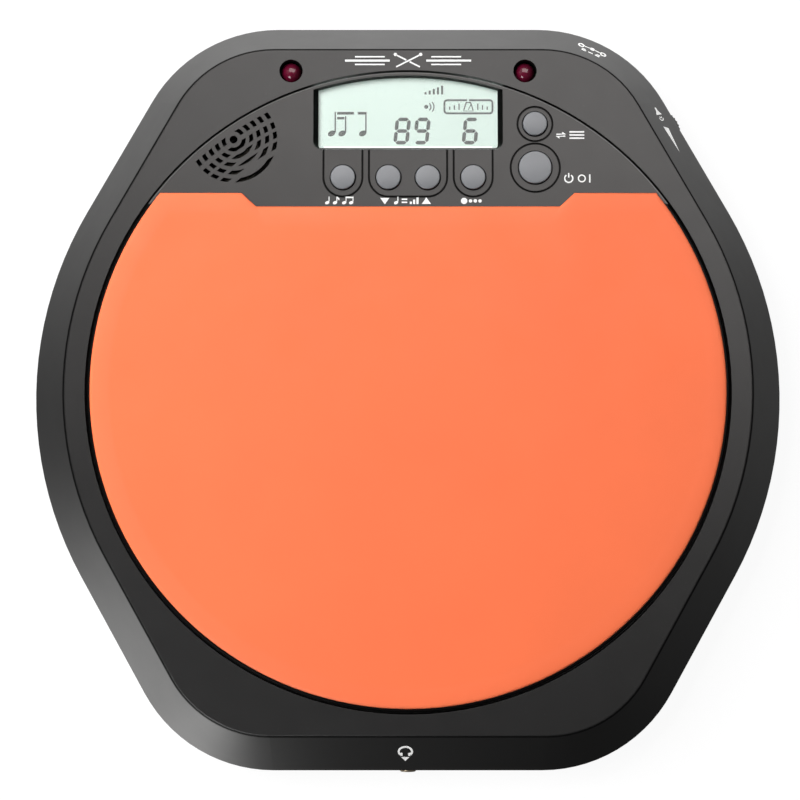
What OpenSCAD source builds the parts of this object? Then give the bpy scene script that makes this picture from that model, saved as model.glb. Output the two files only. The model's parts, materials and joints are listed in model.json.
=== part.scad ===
// Electronic practice pad with a metronome: a bevelled two-piece shell, a
// round deck with a silicone striking surface, a display, six keys, two
// beat lamps, a speaker, a volume thumbwheel and a three-cell battery box.
// Origin: centre of the footprint on the table. +X right, +Y to the control
// panel, +Z up. Millimetres.

/* [Shell] */
// Half of the overall width and depth at the widest line
half_size = 137; // [135.5:0.5:139]
// Radius of the four rounded corners
corner_r = 54; // [52:0.5:56]
// Direction of the slanted sides' normals, degrees above the X axis
side_phi = 29.4; // [28.5:0.1:30.2]
// Horizontal run of the big bevel
bevel_run = 14.2; // [13:0.1:15.4]
// Height of the bevel's lower line
bevel_z0 = 15.5; // [15:0.1:17]
// Height of the flat top of the outer ring
top_z = 38; // [37.5:0.1:38.2]
// Wall thickness
wall = 2.5; // [2.2:0.1:2.8]
// Height of the line where the two shells meet
split_z = 14; // [13.8:0.1:14.4]

/* [Deck and pad] */
// Radius of the hole in the outer ring
ring_r = 115.1; // [115:0.05:115.4]
// Radius of the deck disc
deck_r = 114.3; // [114:0.05:114.5]
// Height of the deck's rim and control panel
deck_top = 38.6; // [38.3:0.1:39]
// Radius of the striking surface
pad_r = 113.1; // [112.6:0.05:113.2]
// Height of the striking surface
pad_top = 40; // [39.6:0.1:40.6]
// Upper edge of the striking surface below the panel
pad_cut_y = 64.9; // [64:0.1:65.5]
// Upper edge of the striking surface at the two ends
pad_ear_y = 69.8; // [69:0.1:70.4]

/* [Controls] */
// Radius of the four keys in the row
row_key_r = 4.4; // [4:0.1:4.5]
// Height of the row of keys on the panel
row_key_y = 75.55; // [75:0.05:76]
// Radius of the small round key at the right
mode_key_r = 4.35; // [4:0.05:4.6]
// Radius of the large round key at the right
power_key_r = 5.9; // [5.4:0.1:6]
// Radius of the volume thumbwheel
wheel_r = 10; // [9.6:0.1:10.2]
// Ridges round the thumbwheel
wheel_ridges = 42; // [24:2:48]

/* [Hidden] */
$fn = 96;

// colours shared by several nodes
SHELL_BLACK = [0.09, 0.09, 0.10];
BOARD_GREEN = [0.12, 0.36, 0.2];
PART_BLACK = [0.12, 0.12, 0.13];
CABLE_RED = [0.7, 0.1, 0.1];
CABLE_GREY = [0.75, 0.75, 0.76];
SCREW_STEEL = [0.55, 0.55, 0.58];

// corner circles: tangent to the top line and to the slanted sides
corner_y = half_size - corner_r;
corner_x = corner_y * (1 - sin(side_phi)) / cos(side_phi);
side_len = corner_y * cos(side_phi) - corner_x * sin(side_phi);

// heights
plate_z = top_z - wall;             // underside of the outer ring's plate
ledge_z = 33.5;                     // deck sits on the ledge here
ledge_under = 31;                   // underside of the ledge
floor_z = 2;                        // underside of the bottom shell
floor_t = 2.5;
floor_top = floor_z + floor_t;
root_z = 4;                         // ribs and pads start here, inside the floor
post_top = 32.5;                    // top of the deck posts
recess_z = 36;                      // floor of the pad recess
adhesive_t = 0.2;
panel_z = 36.1;                     // underside of the control panel
board_z = 27.4;                     // underside of the main board
board_t = 1.6;
board_top = board_z + board_t;
small_board_t = 1.2;

// key centres and radii: [x, y, radius]
K_RHYTHM = [-23.4, row_key_y, row_key_r];
K_DOWN = [-7.05, row_key_y, row_key_r];
K_UP = [7.05, row_key_y, row_key_r];
K_BEAT = [23.4, row_key_y, row_key_r];
K_MODE = [45.7, 95.1, mode_key_r];
K_POWER = [45.7, 79.1, power_key_r];
KEYS = [K_RHYTHM, K_DOWN, K_UP, K_BEAT, K_MODE, K_POWER];

// display opening: half width, lower edge, radius of the arched upper edge
window_x = 34.2;
window_y = 85.7;
window_r = 113.0;

// lamps and their boards, which are turned to follow the rim
lamp_x = 42.3;
lamp_y = 114.8;
lamp_angle = atan2(lamp_y, lamp_x);
lamp_z = 29;
LAMPS = [[-lamp_x, lamp_y], [lamp_x, lamp_y]];
LAMP_PINS = [-6.5, 6.5];            // places of the stakes along a lamp board

// grille centre, and its direction towards the origin
grille_c = [-62.8, 89.4];
grille_dist = norm(grille_c);
grille_dir = atan2(-grille_c.y, -grille_c.x);

// speaker below the grille, held by three screwed ears
speaker_angle = 125.1;
speaker_c = polar(95, speaker_angle);
speaker_r = 14;
ear_out = 17.4;                     // ear centres from the speaker's axis
ear_r = 2.6;
EAR_ANGLES = [for (turn = [-100, 100, 180]) speaker_angle + turn];
EARS = [for (a = EAR_ANGLES) speaker_c + polar(ear_out, a)];

// volume wheel: distance out along the side's normal, and along the side
wheel_out = half_size + 2.05 - wheel_r;
wheel_along = 40;
wheel_z0 = 8.1;
wheel_h = 3.0;
wheel_gap = 0.6;                    // slot's room above and below the wheel
volume_board_z = 5.3;
volume_board_top = volume_board_z + small_board_t;

// sockets: direction of the power socket, and heights of both axes
dc_angle = 65.7;
dc_z = 9.5;
headphone_z = 9.1;
audio_board_z = 5;
audio_board_top = audio_board_z + small_board_t;

// battery box, centred on x = 0
bat_mid_y = -20;
bat_half_x = 30;
bat_half_y = 23.9;
bat_roof = 19.4;                    // underside of the roof
cell_r = 7.0;
cell_len = 49.2;
cell_pitch = 15.2;
cell_z = 4.5 + cell_r;
hinge_y = 2.2;
hinge_z = 3.35;
door_y0 = -43.7;                    // free edge of the door

// fasteners, feet and posts: [x, y]
HOUSE_SCREWS = [
    [119.5, 0], [-119.5, 0], [63.5, 105.2], [-63.5, 105.2], [63.5, -105.2], [-63.5, -105.2]];
house_seat_z = 8;                   // underside of these screws' heads is below this
FEET = [[100, 52], [-100, 52], [100, -52], [-100, -52], [0, 108], [0, -108]];
foot_r = 8;
foot_top = 3;
DECK_SCREWS = [for (i = [0:7]) polar(112.4, 22.5 + 45 * i)];
POSTS = [[48, 20], [-48, 20], [48, -60], [-48, -60]];
post_r = 5;
BOARD_BOSSES = [[-33, 65.5], [7, 65.5], [60, 66.5], [60, 86]];
boss_r = 2.7;
AUDIO_SCREWS = [[-8.5, -114.5], [8.5, -114.5]];
VOLUME_SCREWS = [-5.5, 5.5];        // along the side, from the wheel
volume_screw_out = 114;
small_pilot_r = 0.85;
board_hole_r = 1.2;
board_pad_r = 2.4;                  // pads below the audio and volume boards

// ---------------------------------------------------------------- helpers

function polar(r, a) = [r * cos(a), r * sin(a)];
function arc(c, r, a0, a1, n) = [for (i = [0:n]) c + polar(r, a0 + (a1 - a0) * i / n)];

// outline moved inward, as points; they keep off the arcs' own ends by a few tenths of a degree
outline_steps = 14;
outline_gap = 0.45;
function outline(inset) =
    let (n = outline_steps, e = outline_gap, r = corner_r - inset, side_r = half_size - inset)
    concat(
        arc([0, 0], side_r, -side_phi + e, side_phi - e, 2 * n),
        arc([corner_x, corner_y], r, side_phi + e, 90 - e, n),
        arc([-corner_x, corner_y], r, 90 + e, 180 - side_phi - e, n),
        arc([0, 0], side_r, 180 - side_phi + e, 180 + side_phi - e, 2 * n),
        arc([-corner_x, -corner_y], r, 180 + side_phi + e, 270 - e, n),
        arc([corner_x, -corner_y], r, 270 + e, 360 - side_phi - e, n));

// a section swept round the outline; its points are [outward offset, height]
module sweep_round(section) {
    // wide arcs at the left and right
    for (turn = [0, 180]) rotate([0, 0, turn - side_phi])
        rotate_extrude(angle = 2 * side_phi, $fn = 240)
            polygon([for (p = section) [half_size + p[0], p[1]]]);
    // corners and slanted sides
    for (mx = [0, 1], my = [0, 1]) mirror([mx, 0, 0]) mirror([0, my, 0]) {
        translate([corner_x, corner_y, 0]) rotate([0, 0, side_phi])
            rotate_extrude(angle = 90 - side_phi, $fn = 160)
                polygon([for (p = section) [corner_r + p[0], p[1]]]);
        translate([corner_x + corner_r * cos(side_phi), corner_y + corner_r * sin(side_phi), 0])
            rotate([0, 0, side_phi]) rotate([90, 0, 0])
                linear_extrude(side_len) polygon(section);
    }
    // straight lines at +Y and -Y
    for (my = [0, 1]) mirror([0, my, 0])
        translate([-corner_x, half_size, 0]) rotate([0, 0, 90]) rotate([90, 0, 0])
            linear_extrude(2 * corner_x) polygon(section);
}

// frames: out along a slanted side's normal and along the side; out from the
// right-hand upper corner's centre; on the speaker's axis; on a socket's axis
module at_side(out, along, z = 0) rotate([0, 0, side_phi]) translate([out, along, z]) children();
module at_dc(out, z = 0)
    translate([corner_x, corner_y, 0]) rotate([0, 0, dc_angle]) translate([out, 0, z]) children();
module at_speaker() translate([speaker_c.x, speaker_c.y, 0]) children();
module at_headphone(y) translate([0, y, headphone_z]) rotate([90, 0, 0]) children();
module along_x(x) translate([x, 0, 0]) rotate([0, 90, 0]) children();

// copies at places in a table, at the volume board's screws, at the lamp boards
module at_each(places, z = 0) for (p = places) translate([p.x, p.y, z]) children();
module at_volume_screws(z)
    for (t = VOLUME_SCREWS) at_side(volume_screw_out, wheel_along + t, z) children();
module at_lamp_boards(z = 0) for (s = [-1, 1])
    translate([s * lamp_x, lamp_y, z]) rotate([0, 0, s > 0 ? lamp_angle : 180 - lamp_angle])
        children();

module ring(outer, inner, z0, z1) translate([0, 0, z0]) difference() {
    cylinder(r = outer, h = z1 - z0);
    translate([0, 0, -1]) cylinder(r = inner, h = z1 - z0 + 2);
}
// block between two limits on each axis
module box(x, y, z)
    translate([x[0], y[0], z[0]]) cube([x[1] - x[0], y[1] - y[0], z[1] - z[0]]);
// profile of [radius, height] points turned about Z
module turned(profile) rotate_extrude() polygon(profile);

// cross-slotted screw: head below z = 0, shank above
module pan_screw(head_r, head_h, shank_r, length) union() {
    difference() {
        turned([[0, 0], [head_r, 0], [head_r, -head_h * 0.55],
            [head_r * 0.72, -head_h], [0, -head_h]]);
        for (a = [0, 90]) rotate([0, 0, a])
            translate([-head_r * 0.5, -0.25, -head_h - 1]) cube([head_r, 0.5, 1 + head_h * 0.5]);
    }
    translate([0, 0, -0.2]) cylinder(r = shank_r, h = length + 0.2 - shank_r);
    translate([0, 0, length - shank_r]) cylinder(r1 = shank_r, r2 = shank_r * 0.45, h = shank_r);
}
module small_screw(length)
    pan_screw(head_r = 1.9, head_h = 1.4, shank_r = 0.8, length = length, $fn = 24);

// smooth curve through points, n steps between neighbours
function catmull(before, from, to, after, t) =
    0.5 * (2 * from + (to - before) * t + (2 * before - 5 * from + 4 * to - after) * t * t
    + (3 * from - before - 3 * to + after) * t * t * t);
function smooth_path(p, n = 5) = concat(
    [for (i = [0:len(p) - 2], j = [0:n - 1])
        catmull(p[max(i - 1, 0)], p[i], p[i + 1], p[min(i + 2, len(p) - 1)], j / n)],
    [p[len(p) - 1]]);

// round wire along a path; up is never parallel to the path
wire_sides = 6;
function unit(v) = v / norm(v);
function tangent(p, i) = unit(p[min(i + 1, len(p) - 1)] - p[max(i - 1, 0)]);
module wire(path, r, up = [0.05, 0.03, 1]) {
    n = len(path);
    sides = wire_sides;
    points = [for (i = [0:n - 1])
        let (across = unit(cross(tangent(path, i), up)), normal = cross(across, tangent(path, i)))
        for (k = [0:sides - 1])
            path[i] + r * (cos(360 * k / sides) * across - sin(360 * k / sides) * normal * -1)];
    faces = concat(
        [[for (k = [0:sides - 1]) k]],
        [for (i = [0:n - 2], k = [0:sides - 1])
            let (a = i * sides + k, b = i * sides + (k + 1) % sides)
            [a + sides, b + sides, b, a]],
        [[for (k = [sides - 1:-1:0]) (n - 1) * sides + k]]);
    polyhedron(points, faces, convexity = 6);
}
// copies of one wire, each moved by steps times the gap
module strands(path, r, gap, steps = [-1, 1])
    for (s = steps) wire([for (p = path) p + s * gap], r);

// ---------------------------------------------------------------- shells

// shell walls: [outward offset, height]
TOP_SECTION = [
    [0, split_z], [0, bevel_z0], [-bevel_run + 0.47, top_z - 0.74],
    [-bevel_run + 0.18, top_z - 0.34], [-bevel_run - 0.2, top_z - 0.1],
    [-bevel_run - 0.7, top_z], [-20, top_z], [-20, plate_z],
    [-bevel_run - 1.4, plate_z], [-2.96, bevel_z0], [-2.96, split_z]];
BOTTOM_SECTION = [
    [-0.4, 12.2], [-0.4, split_z], [-4.6, split_z],
    [-4.6, 11], [-6.0, floor_top], [-12, floor_top], [-12, floor_z], [-5.2, floor_z],
    [-4.1, 2.3], [-3.4, 3.2]];

deck_wall_r = 117.1;                // outside of the wall round the deck
ledge_r = 110;                      // inner edge of the ledge

module top_housing() color(SHELL_BLACK) difference() {
    union() {
        sweep_round(TOP_SECTION);
        // flat plate of the outer ring
        difference() {
            translate([0, 0, plate_z - 0.05]) linear_extrude(wall + 0.05) polygon(outline(18));
            translate([0, 0, plate_z - 1]) cylinder(r = ring_r, h = wall + 2, $fn = 240);
        }
        // wall round the deck and the ledge it sits on
        ring(deck_wall_r, ring_r, ledge_under, plate_z + 0.5, $fn = 240);
        ring(deck_wall_r, ledge_r, ledge_under, ledge_z, $fn = 240);
        // bosses for the housing screws
        at_each(HOUSE_SCREWS, split_z) cylinder(r = 4, h = plate_z + 0.5 - split_z);
        // stepped heat-stake posts for the lamp boards
        at_lamp_boards() for (t = LAMP_PINS) translate([0, t, 0]) {
            translate([0, 0, lamp_z]) cylinder(r = 1.9, h = plate_z - lamp_z + 0.5, $fn = 32);
            translate([0, 0, 27]) cylinder(r = 0.9, h = 3, $fn = 24);
        }
    }
    // room for the display below the ledge
    box([-36, 36], [100, 114.5], [25, plate_z]);
    // lamp holes
    at_each(LAMPS, plate_z - 1) cylinder(r = 4.2, h = wall + 2);
    // deck screw holes in the ledge
    at_each(DECK_SCREWS, 30) cylinder(r = 1.5, h = 5, $fn = 32);
    // pilot holes
    at_each(HOUSE_SCREWS, split_z - 1) cylinder(r = 1.25, h = 11.5, $fn = 32);
}

// rod on the battery door's hinge axis
module hinge_rod(r, half_len)
    translate([-half_len, hinge_y, hinge_z]) rotate([0, 90, 0]) cylinder(r = r, h = 2 * half_len);

module bottom_housing() color(SHELL_BLACK) difference() {
    union() {
        sweep_round(BOTTOM_SECTION);
        // lip that locates the top shell
        translate([0, 0, split_z - 1]) linear_extrude(2.4) difference() {
            polygon(outline(3.15));
            polygon(outline(4.4));
        }
        translate([0, 0, floor_z]) linear_extrude(floor_t) polygon(outline(10));
        // posts below the housing bosses
        at_each(HOUSE_SCREWS, floor_z) cylinder(r = 4.6, h = split_z - floor_z);
        // posts that hold up the deck
        at_each(POSTS, 3.5) cylinder(r = post_r, h = post_top - 3.5);
        // battery box: walls and roof
        box([-bat_half_x - 3.4, bat_half_x + 3.4],
            [bat_mid_y - bat_half_y - 2, bat_mid_y + bat_half_y + 2], [floor_z, bat_roof + 2]);
        // floor ribs: radial, then along X
        for (a = [0, 25, 60, 120, 155, 180, 205, 230, 310, 335]) rotate([0, 0, a])
            box([62, 106], [-0.8, 0.8], [root_z, 9]);
        for (s = [-1, 1], y = [18, 40]) box([s * 60 - 40, s * 60 + 40], [y, y + 1.6], [root_z, 8]);
        // pads below the small boards
        at_each(AUDIO_SCREWS, root_z)
            cylinder(r = board_pad_r, h = audio_board_z - root_z, $fn = 32);
        at_volume_screws(root_z)
            cylinder(r = board_pad_r, h = volume_board_z - root_z, $fn = 32);
        // cradle for the power socket
        for (s = [-1, 1]) at_dc(37, root_z)
            box([0, 11], [s * 5.35 - 0.75, s * 5.35 + 0.75], [0, 8]);
    }
    // inside of the battery box, and the wider seat of its door
    box([-bat_half_x, bat_half_x], [bat_mid_y - bat_half_y, bat_mid_y + bat_half_y],
        [floor_z + 1.0, bat_roof]);
    box([-bat_half_x - 0.9, bat_half_x + 0.9], [door_y0 - 0.35, hinge_y + 1.7],
        [floor_z - 1, 4.9]);
    // finger notch at the door's free edge
    translate([0, door_y0 - 1.5, floor_z - 1]) cylinder(r = 7, h = 2.1, $fn = 48);
    // hinge bores
    hinge_rod(1.05, bat_half_x + 2.6, $fn = 32);
    // wire outlet
    translate([20, bat_mid_y + bat_half_y - 1, 14]) rotate([-90, 0, 0])
        cylinder(r = 2.2, h = 5, $fn = 32);
    // feet recesses
    at_each(FEET, floor_z - 1) cylinder(r = foot_r + 0.1, h = foot_top - floor_z + 1);
    // housing screws: head wells and clearance holes
    at_each(HOUSE_SCREWS) {
        translate([0, 0, floor_z - 1]) cylinder(r = 3.3, h = house_seat_z - floor_z + 1, $fn = 48);
        cylinder(r = 1.7, h = 20, $fn = 32);
    }
    // hollow in the deck posts
    at_each(POSTS, 6) cylinder(r = 3.2, h = 30);
    // slot for the thumbwheel and a relief for its base
    at_side(wheel_out, wheel_along, wheel_z0 - wheel_gap)
        cylinder(r = wheel_r + 0.7, h = wheel_h + 2 * wheel_gap);
    at_side(wheel_out, wheel_along, 5.0) cylinder(r = 4.3, h = 4);
    // socket holes
    at_headphone(-128) cylinder(r = 3.25, h = 14, $fn = 48);
    at_dc(0, dc_z) along_x(46) cylinder(r = 4, h = 12, $fn = 48);
    // pilots for the small boards
    at_each(AUDIO_SCREWS, 2.8) cylinder(r = small_pilot_r, h = 5, $fn = 24);
    at_volume_screws(2.8) cylinder(r = small_pilot_r, h = 5, $fn = 24);
}

// ---------------------------------------------------------------- deck

// the step in the pad's upper edge, from its ear line to its cut line
step_outer_x = 59.7;
step_inner_x = 54.4;
step_shift = 0.45;                  // sideways move of the step per unit of offset
beyond = 130;                       // past the deck's rim

// region above the pad's stepped upper edge, moved up by d
module above_cut(d) {
    outer = step_outer_x + d * step_shift;
    inner = step_inner_x + d * step_shift;
    polygon([
        [-beyond, pad_ear_y + d], [-outer, pad_ear_y + d], [-inner, pad_cut_y + d],
        [inner, pad_cut_y + d], [outer, pad_ear_y + d], [beyond, pad_ear_y + d],
        [beyond, beyond], [-beyond, beyond]]);
}
module pad_area(r, d = 0) difference() {
    circle(r = r, $fn = 240);
    above_cut(d);
}

// display opening moved inward at the sides, the bottom and the arched top;
// corner is the lower corners' radius
function window_points(side, bottom, top, corner) =
    let (x = window_x - side, y = window_y + bottom, r = window_r - top,
        a = atan2(sqrt(r * r - x * x), x))
    concat(arc([0, 0], r, a, 180 - a, 24),
        arc([-x + corner, y + corner], corner, 180, 270, 6),
        arc([x - corner, y + corner], corner, 270, 360, 6));
module window_hole() polygon(window_points(side = 1.8, bottom = 0.75, top = 0.25, corner = 1.6));

// grille slots: arcs round the grille's centre, kept where they cross bands
// that run parallel to the deck's rim
module rim_band(inward, width) translate([grille_dist, 0]) difference() {
    circle(r = grille_dist - inward + width / 2, $fn = 180);
    circle(r = grille_dist - inward - width / 2, $fn = 180);
}
module grille_2d() translate(grille_c) rotate([0, 0, grille_dir]) {
    circle(r = 1.4, $fn = 32);
    intersection() {
        union() for (r = [3.65, 6.4, 9.2, 12.1, 15]) difference() {
            circle(r = r + 0.7, $fn = 72);
            circle(r = r - 0.7, $fn = 72);
        }
        union() {
            rim_band(-1.1, 2.4);
            for (inward = [2.95, 6.4, 9.9]) rim_band(inward, 2.2);
            rim_band(15.4, 5);
        }
    }
}

// shallow grooves round the keys: U shapes open to the display, and circles
groove_w = 0.7;
u_groove_r = 7;
ROUND_GROOVES = [[K_MODE, 6.3], [K_POWER, 8.85]];   // [key, radius]
function u_points(x0, x1, r) = concat(
    [[x0 - r, window_y + 0.5]], arc([x0, row_key_y], r, 180, 270, 12),
    arc([x1, row_key_y], r, 270, 360, 12), [[x1 + r, window_y + 0.5]]);
module u_groove(first, last) {
    x0 = first.x;
    x1 = last.x;
    inner = u_groove_r - groove_w / 2;
    difference() {
        polygon(u_points(x0, x1, u_groove_r + groove_w / 2));
        translate([0, 0.02]) polygon(concat([[x0 - inner, window_y + 3]],
            u_points(x0, x1, inner), [[x1 + inner, window_y + 3]]));
    }
}

// solid deck: disc, ribs and bosses
module deck_body() {
    turned([[0, ledge_z], [deck_r, ledge_z], [deck_r, deck_top - 0.5],
        [deck_r - 0.5, deck_top], [0, deck_top]], $fn = 240);
    // stiffening ribs below the striking surface
    difference() {
        union() {
            ring(64.8, 63.2, 30, ledge_z + 0.5);
            for (a = [0:45:315]) rotate([0, 0, a])
                box([22, 106], [-0.8, 0.8], [30, ledge_z + 0.5]);
        }
        box([-120, 120], [58, 120], [28, 40]);
    }
    // bosses for the main board, merged with the panel
    at_each(BOARD_BOSSES, board_top) cylinder(r = boss_r, h = 36.3 - board_top, $fn = 40);
}

// pocket below the panel, clear of the bosses and the speaker seat
module panel_pocket() difference() {
    translate([0, 0, 30]) linear_extrude(panel_z - 30) union() {
        intersection() {
            circle(r = 109.9, $fn = 240);
            above_cut(2);
        }
        translate([-35.8, 84]) square([71.6, 31]);
        translate([K_MODE.x, K_MODE.y]) circle(r = mode_key_r + 1.7, $fn = 64);
    }
    at_each(BOARD_BOSSES, 20) cylinder(r = boss_r, h = 20, $fn = 40);
    at_speaker() ring(14.6, 12.2, 25, 40);
    at_each(EARS, 20) cylinder(r = ear_r, h = 20, $fn = 40);
}

module deck_plate() color([0.12, 0.12, 0.13]) difference() {
    union() deck_body();
    // pad recess
    translate([0, 0, recess_z]) linear_extrude(5) pad_area(pad_r + 0.1, 0.1);
    panel_pocket();
    // display opening: straight hole and slanted walls
    translate([0, 0, 35]) linear_extrude(5) window_hole();
    hull() {
        translate([0, 0, panel_z + 0.3]) linear_extrude(0.01) window_hole();
        translate([0, 0, deck_top + 0.05]) linear_extrude(0.01)
            polygon(window_points(side = 0, bottom = 0, top = 0, corner = 3.2));
    }
    // grille slots
    translate([0, 0, 33]) linear_extrude(7) grille_2d();
    // key holes
    for (k = KEYS) translate([k.x, k.y, 33]) cylinder(r = k[2] + 0.35, h = 7);
    // grooves round the keys
    translate([0, 0, deck_top - 0.6]) linear_extrude(1.2) {
        u_groove(K_RHYTHM, K_RHYTHM);
        u_groove(K_DOWN, K_UP);
        u_groove(K_BEAT, K_BEAT);
        for (g = ROUND_GROOVES) translate([g[0].x, g[0].y]) difference() {
            circle(r = g[1] + groove_w / 2);
            circle(r = g[1] - groove_w / 2);
        }
    }
    // pilots: main board, speaker clamp, deck screws
    at_each(BOARD_BOSSES, board_top - 1) cylinder(r = small_pilot_r, h = 5, $fn = 24);
    at_each(EARS, 30) cylinder(r = small_pilot_r, h = 5.2, $fn = 24);
    at_each(DECK_SCREWS, 32) cylinder(r = 1.05, h = 3.4, $fn = 24);
}

// body and two narrower layers that round off its upper edge
module strike_pad() color([1.0, 0.42, 0.24]) union() {
    bottom = recess_z + adhesive_t;
    translate([0, 0, bottom]) linear_extrude(pad_top - bottom - 0.6) pad_area(pad_r);
    translate([0, 0, pad_top - 0.7]) linear_extrude(0.4) pad_area(pad_r - 0.18, -0.18);
    translate([0, 0, pad_top - 0.4]) linear_extrude(0.4) pad_area(pad_r - 0.6, -0.6);
}

module pad_adhesive() color([0.85, 0.83, 0.76])
    translate([0, 0, recess_z]) linear_extrude(adhesive_t) pad_area(pad_r - 1, -1);

// ---------------------------------------------------------------- display

glass_z = 32.8;
glass_top = 35.2;
light_z = 29.6;
light_x = 31;                       // half width of the backlight
LIGHT_Y = [89, 112];
strip_x = 28;                       // half width of the zebra strip
STRIP_Y = [85.9, 87.9];
frame_gap = 0.1;                    // frame's room round both

module lcd_window() color([0.8, 0.95, 0.92, 0.35])
    translate([0, 0, glass_top]) linear_extrude(panel_z - glass_top) intersection() {
        polygon(window_points(side = -0.7, bottom = -0.6, top = -0.7, corner = 2));
        circle(r = 113.7, $fn = 240);
    }
module lcd_glass() color([0.84, 0.93, 0.88]) box([-34, 34], [85, 113], [glass_z, glass_top]);
module lcd_backlight() color([0.95, 0.97, 0.95])
    box([-light_x, light_x], LIGHT_Y, [light_z, glass_z]);
module zebra_strip() color([0.25, 0.25, 0.27])
    box([-strip_x, strip_x], STRIP_Y, [board_top, glass_z]);
module lcd_frame() color([0.2, 0.2, 0.21]) difference() {
    grow = [-frame_gap, frame_gap];
    box([-35.5, 35.5], [84.5, 114], [board_top, glass_z]);
    box([-light_x, light_x] + grow, LIGHT_Y + grow, [light_z, 40]);
    box([-strip_x, strip_x] + grow, STRIP_Y + grow, [20, 40]);
}

// ---------------------------------------------------------------- board and keys

module main_board() color(BOARD_GREEN) difference() {
    translate([0, 0, board_z]) linear_extrude(board_t) intersection() {
        translate([-36.6, 63]) square([102.6, 52]);
        circle(r = 113.8, $fn = 120);
    }
    at_each(BOARD_BOSSES, board_z - 1) cylinder(r = board_hole_r, h = 5, $fn = 24);
}

// blocks on the board's lower face: [x0, x1, y0, y1, height]
CHIPS = [
    [-8, 8, 76, 92, 1.6], [24, 34, 80, 87, 1.5], [40, 46, 70, 75, 1.5],
    [14, 25, 74, 78.6, 3.4], [-26, -18, 82, 88, 1.5]];
// connectors there: [x, y, size x, size y]
CONNECTORS = [
    [-27, 68, 7, 4], [-14, 68, 7, 4], [0, 68, 7, 4], [16, 68, 9, 4],
    [64.2, 73, 4, 6.5], [64.2, 80.4, 4, 6.2], [36, 108.2, 9, 4]];
connector_h = 5.4;
// round components there: [x, y, radius, height]
CANS = [[44, 90, 3.2, 7.5], [53, 96, 2.5, 5.5], [-20, 98, 3.2, 7.5], [-10, 100, 2.5, 5.5]];

module board_components() color([0.1, 0.1, 0.11]) {
    for (c = CONNECTORS) box([c[0] - c[2] / 2, c[0] + c[2] / 2],
        [c[1] - c[3] / 2, c[1] + c[3] / 2], [board_z - connector_h, board_z]);
    for (c = CHIPS) box([c[0], c[1]], [c[2], c[3]], [board_z - c[4], board_z]);
    for (c = CANS) translate([c.x, c.y, board_z - c[3]]) cylinder(r = c[2], h = c[3], $fn = 40);
    // row of small parts
    for (x = [-30:6:30]) box([x, x + 2], [72.4, 73.6], [board_z - 0.8, board_z]);
}

key_foot_z = 31.2;
pill_h = 0.9;

// sheet with a hollow dome below each key
module keypad_mat() color([0.3, 0.31, 0.32]) {
    difference() {
        translate([0, 0, board_top]) linear_extrude(1) union() {
            translate([-31, 69]) square([62, 14]);
            translate([30, 69]) square([25, 14]);
            translate([37.5, 71]) square([17.5, 29.8]);
        }
        at_each(KEYS, 28) cylinder(r = 4.6, h = 4, $fn = 48);
    }
    at_each(KEYS) turned([[2.85, 31.3], [4.3, 29.9], [4.3, board_top], [4.7, board_top],
        [4.7, 30], [3.25, 31.9], [2.85, 31.9]], $fn = 48);
}

// key: stem, flange below the panel, cap with a rounded edge
module key(place) color([0.58, 0.59, 0.60]) translate([place.x, place.y, 0]) {
    r = place[2];
    turned([[0, key_foot_z], [2.8, key_foot_z], [2.8, 35], [r + 1.3, 35], [r + 1.3, 36],
        [r, 36], [r, 39.15], [r - 0.12, 39.45], [r - 0.45, 39.68], [r - 1, 39.8],
        [0, 39.92]], $fn = 64);
}
// black disc below a key's stem
module pill(place) color([0.08, 0.08, 0.08])
    translate([place.x, place.y, key_foot_z - pill_h]) cylinder(r = 2.3, h = pill_h, $fn = 32);

module key_rhythm() key(K_RHYTHM);
module key_tempo_down() key(K_DOWN);
module key_tempo_up() key(K_UP);
module key_beat() key(K_BEAT);
module key_mode() key(K_MODE);
module key_power() key(K_POWER);
module pill_rhythm() pill(K_RHYTHM);
module pill_tempo_down() pill(K_DOWN);
module pill_tempo_up() pill(K_UP);
module pill_beat() pill(K_BEAT);
module pill_mode() pill(K_MODE);
module pill_power() pill(K_POWER);

// ---------------------------------------------------------------- lamps

lamp_r = 3.65;

// flanged lens with a domed top
module led(place) color([0.45, 0.02, 0.05]) translate([place.x, place.y, 0])
    turned(concat([[0, lamp_z], [4.4, lamp_z], [4.4, 30.2], [lamp_r, 30.2]],
        arc([0, 34.1], lamp_r, 0, 90, 9)), $fn = 64);
module led_left() led(LAMPS[0]);
module led_right() led(LAMPS[1]);
module led_boards() color(BOARD_GREEN)
    at_lamp_boards(lamp_z - small_board_t) difference() {
        box([-4.2, 5.2], [-9, 9], [0, small_board_t]);
        for (t = LAMP_PINS) translate([0, t, -1]) cylinder(r = 0.98, h = 4, $fn = 24);
    }

// ---------------------------------------------------------------- speaker

rim_z = 31.9;                       // underside of the frame's rim
rim_top = 32.7;
basket_z = 27.5;                    // underside of the frame
clamp_z = 30.4;

module speaker_gasket() color([0.15, 0.15, 0.15])
    at_speaker() ring(speaker_r, 12.3, rim_top, ledge_z);
module speaker_frame() color([0.6, 0.6, 0.62]) at_speaker() turned([
    [speaker_r, rim_z], [speaker_r, rim_top], [12.2, rim_top], [12.2, rim_z], [8.6, 28.3],
    [3.2, 28.3], [3.2, basket_z], [9, basket_z], [13, 31.5], [13, rim_z]]);
module speaker_cone() color([0.75, 0.73, 0.68]) at_speaker() turned([
    [0, 30.9], [1.5, 30.7], [3, 30], [4.2, 29.7], [9.5, 31.3], [10.4, 31.9], [11.4, 31.95],
    [12.1, 32.3], [12.1, 32.6], [11.2, 32.5], [10, 32.2], [9.3, 31.6], [4.2, 30], [3, 30.4],
    [1.6, 31.05], [0, 31.25]]);
module speaker_magnet() color([0.45, 0.45, 0.47]) at_speaker() ring(7, 1, 23.5, basket_z);
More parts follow.
